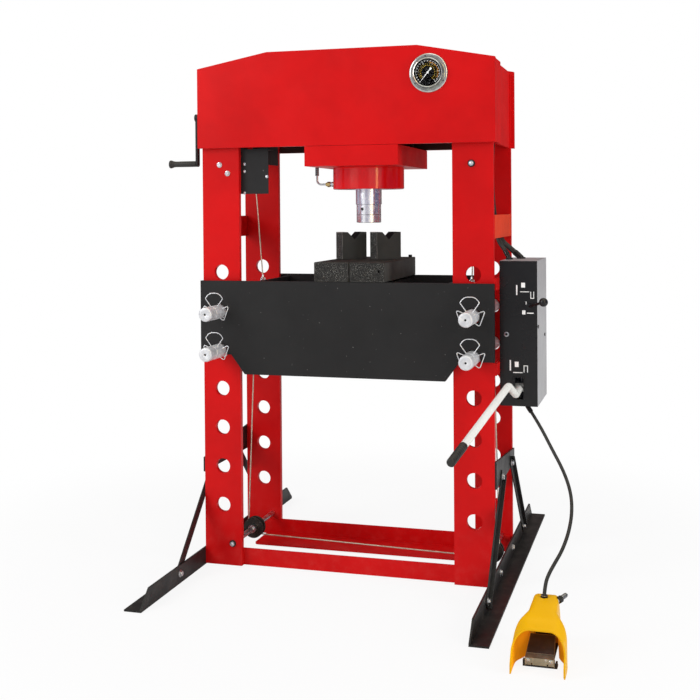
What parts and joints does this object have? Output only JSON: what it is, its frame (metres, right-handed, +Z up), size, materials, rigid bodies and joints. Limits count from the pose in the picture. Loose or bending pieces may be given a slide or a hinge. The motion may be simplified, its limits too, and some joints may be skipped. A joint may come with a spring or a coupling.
{
  "type": "hydraulic shop press",
  "caption": "Floor-standing hydraulic shop press: plated column frame, pinned bed hung on a winch rope, sliding cylinder, side pump cabinet with hand lever, and an air foot pedal.",
  "frame": {"origin": "on the floor, midway between the two pairs of columns and midway between the front and rear column bars", "axes": "+Z up; the front of the press, with the bed's front plate and the gauge, faces -Y; +X is to the right of a person facing the press, on the pump cabinet's side"},
  "size_m": [1.523, 1.64, 1.842],
  "materials": {
    "red_paint": "semi-gloss red paint",
    "black_paint": "satin black paint",
    "zinc": "zinc-plated steel",
    "zinc_pin": "zinc-plated turned steel",
    "chrome_rod": "hard-chromed rod",
    "ground_steel": "ground bare steel",
    "gauge_rim": "polished rim",
    "dial_face": "matt black dial with plain marks",
    "needle_white": "white needle",
    "lens_glass": "clear lens",
    "steel_rope": "galvanised wire rope",
    "grey_paint": "light grey paint",
    "pump_steel": "machined pump body and tank",
    "black_rubber": "black rubber",
    "white_paint": "white gloss paint",
    "guard_yellow": "moulded yellow plastic",
    "black_iron": "black-oxide rough steel"
  },
  "bodies": {
    "frame": {"column_front_left": "red_paint", "column_front_right": "red_paint", "column_rear_left": "red_paint", "column_rear_right": "red_paint", "crown_front_plate": "red_paint", "crown_rear_plate": "red_paint", "crown_stiffeners": "red_paint", "side_plates": "red_paint", "base_bars": "red_paint", "feet": "black_paint", "brace_brackets": "black_paint", "braces": "black_paint", "frame_bolts": "zinc", "bed_front_plate": "black_paint", "bed_rear_plate": "black_paint", "bed_cross_members": "black_paint", "rope_eyes": "zinc", "winch_frame": "black_paint", "sheave_shafts": "zinc", "lift_ropes": "steel_rope", "gauge_case": "gauge_rim", "gauge_dial": "dial_face", "gauge_lens": "lens_glass", "cabinet_shell": "grey_paint", "cabinet_panel": "black_paint", "cabinet_glands": "black_rubber", "pump_block": "pump_steel", "pump_hoses": "black_rubber", "pedal_base": "black_paint", "pedal_hood": "guard_yellow", "pedal_valve": "zinc", "pedal_hose": "black_rubber"},
    "carriage": {"cylinder_carriage": "red_paint", "cylinder_barrel": "red_paint", "cylinder_gland": "ground_steel", "carriage_hanger": "red_paint", "cylinder_port": "zinc", "cylinder_hose": "black_rubber"},
    "ram": {"piston_rod": "chrome_rod", "ram_nose": "ground_steel"},
    "needle": {"gauge_needle": "needle_white"},
    "pin_upper_left": {"pin_upper_left": "zinc_pin"},
    "pin_upper_right": {"pin_upper_right": "zinc_pin"},
    "pin_lower_left": {"pin_lower_left": "zinc_pin"},
    "pin_lower_right": {"pin_lower_right": "zinc_pin"},
    "crank": {"crank_arm": "black_paint"},
    "grip": {"crank_grip": "black_rubber"},
    "drum": {"winch_drum": "zinc"},
    "sheave_base_left": {"sheave_base_left": "black_paint"},
    "sheave_base_right": {"sheave_base_right": "black_paint"},
    "sheave_top_right": {"sheave_top_right": "black_paint"},
    "handle": {"pump_handle": "white_paint", "handle_grip": "black_rubber"},
    "plunger": {"pump_plunger": "pump_steel"},
    "lever": {"valve_lever": "black_paint"},
    "treadle": {"treadle": "ground_steel"},
    "plate_left": {"arbor_plate_left": "black_iron"},
    "plate_right": {"arbor_plate_right": "black_iron"},
    "block_left": {"v_block_left": "black_iron"},
    "block_right": {"v_block_right": "black_iron"}
  },
  "joints": [
    {"name": "carriage_slide", "type": "slide", "parent": "frame", "child": "carriage", "axis": [1, 0, 0], "range_m": [-0.135, 0.065]},
    {"name": "ram_stroke", "type": "slide", "parent": "carriage", "child": "ram", "axis": [0, 0, -1], "range_m": [0, 0.033]},
    {"name": "needle_turn", "type": "hinge", "parent": "frame", "child": "needle", "pos_m": [0.312, -0.245, 1.745], "axis": [0, 1, 0], "range_deg": [0, 280]},
    {"name": "pin_upper_left_pull", "type": "slide", "parent": "frame", "child": "pin_upper_left", "axis": [0, -1, 0], "range_m": [0, 0.6]},
    {"name": "pin_lower_left_pull", "type": "slide", "parent": "frame", "child": "pin_lower_left", "axis": [0, -1, 0], "range_m": [0, 0.6]},
    {"name": "pin_upper_right_pull", "type": "slide", "parent": "frame", "child": "pin_upper_right", "axis": [0, -1, 0], "range_m": [0, 0.6]},
    {"name": "pin_lower_right_pull", "type": "slide", "parent": "frame", "child": "pin_lower_right", "axis": [0, -1, 0], "range_m": [0, 0.6]},
    {"name": "drum_turn", "type": "hinge", "parent": "frame", "child": "drum", "pos_m": [-0.42, -0.0305, 1.56], "axis": [1, 0, 0], "continuous": true},
    {"name": "crank_turn", "type": "hinge", "parent": "frame", "child": "crank", "pos_m": [-0.589, -0.123, 1.62663], "axis": [1, 0, 0], "continuous": true},
    {"name": "grip_spin", "type": "hinge", "parent": "crank", "child": "grip", "pos_m": [-0.64, -0.123, 1.45663], "axis": [1, 0, 0], "continuous": true},
    {"name": "sheave_base_left_turn", "type": "hinge", "parent": "frame", "child": "sheave_base_left", "pos_m": [-0.422, 0, 0.082], "axis": [0, 1, 0], "continuous": true},
    {"name": "sheave_base_right_turn", "type": "hinge", "parent": "frame", "child": "sheave_base_right", "pos_m": [0.485, 0, 0.062], "axis": [0, 1, 0], "continuous": true},
    {"name": "sheave_top_right_turn", "type": "hinge", "parent": "frame", "child": "sheave_top_right", "pos_m": [0.4535, 0, 1.437], "axis": [0, 1, 0], "continuous": true},
    {"name": "handle_stroke", "type": "hinge", "parent": "frame", "child": "handle", "pos_m": [0.6, -0.108, 0.668], "axis": [-1, 0, 0], "range_deg": [-6, 34]},
    {"name": "plunger_stroke", "type": "slide", "parent": "frame", "child": "plunger", "axis": [0, 0, 1], "range_m": [-0.0218, 0.0039]},
    {"name": "lever_turn", "type": "hinge", "parent": "frame", "child": "lever", "pos_m": [0.634, -0.15, 0.95], "axis": [0, 1, 0], "range_deg": [-35, 35]},
    {"name": "treadle_press", "type": "hinge", "parent": "frame", "child": "treadle", "pos_m": [0.746, -0.83, 0.011], "axis": [-1, 0, 0], "range_deg": [0, 9], "stiffness_Nm_per_rad": 12, "springref_deg": -11.46},
    {"name": "plate_left_slide", "type": "slide", "parent": "frame", "child": "plate_left", "axis": [-1, 0, 0], "range_m": [0, 0.25]},
    {"name": "plate_right_slide", "type": "slide", "parent": "frame", "child": "plate_right", "axis": [1, 0, 0], "range_m": [0, 0.2]},
    {"name": "block_left_slide", "type": "slide", "parent": "plate_left", "child": "block_left", "axis": [0, 1, 0], "range_m": [-0.1, 0.1]},
    {"name": "block_right_slide", "type": "slide", "parent": "plate_right", "child": "block_right", "axis": [0, 1, 0], "range_m": [-0.1, 0.1]}
  ],
  "couplings": [
    {"joint": "crank_turn", "follows": "drum_turn", "ratio": -4.4286},
    {"joint": "sheave_base_left_turn", "follows": "drum_turn", "ratio": 1.2708},
    {"joint": "sheave_base_right_turn", "follows": "drum_turn", "ratio": 1.2708},
    {"joint": "sheave_top_right_turn", "follows": "drum_turn", "ratio": 1.2708},
    {"joint": "plunger_stroke", "follows": "handle_stroke", "m_per_rad": -0.0365}
  ]
}
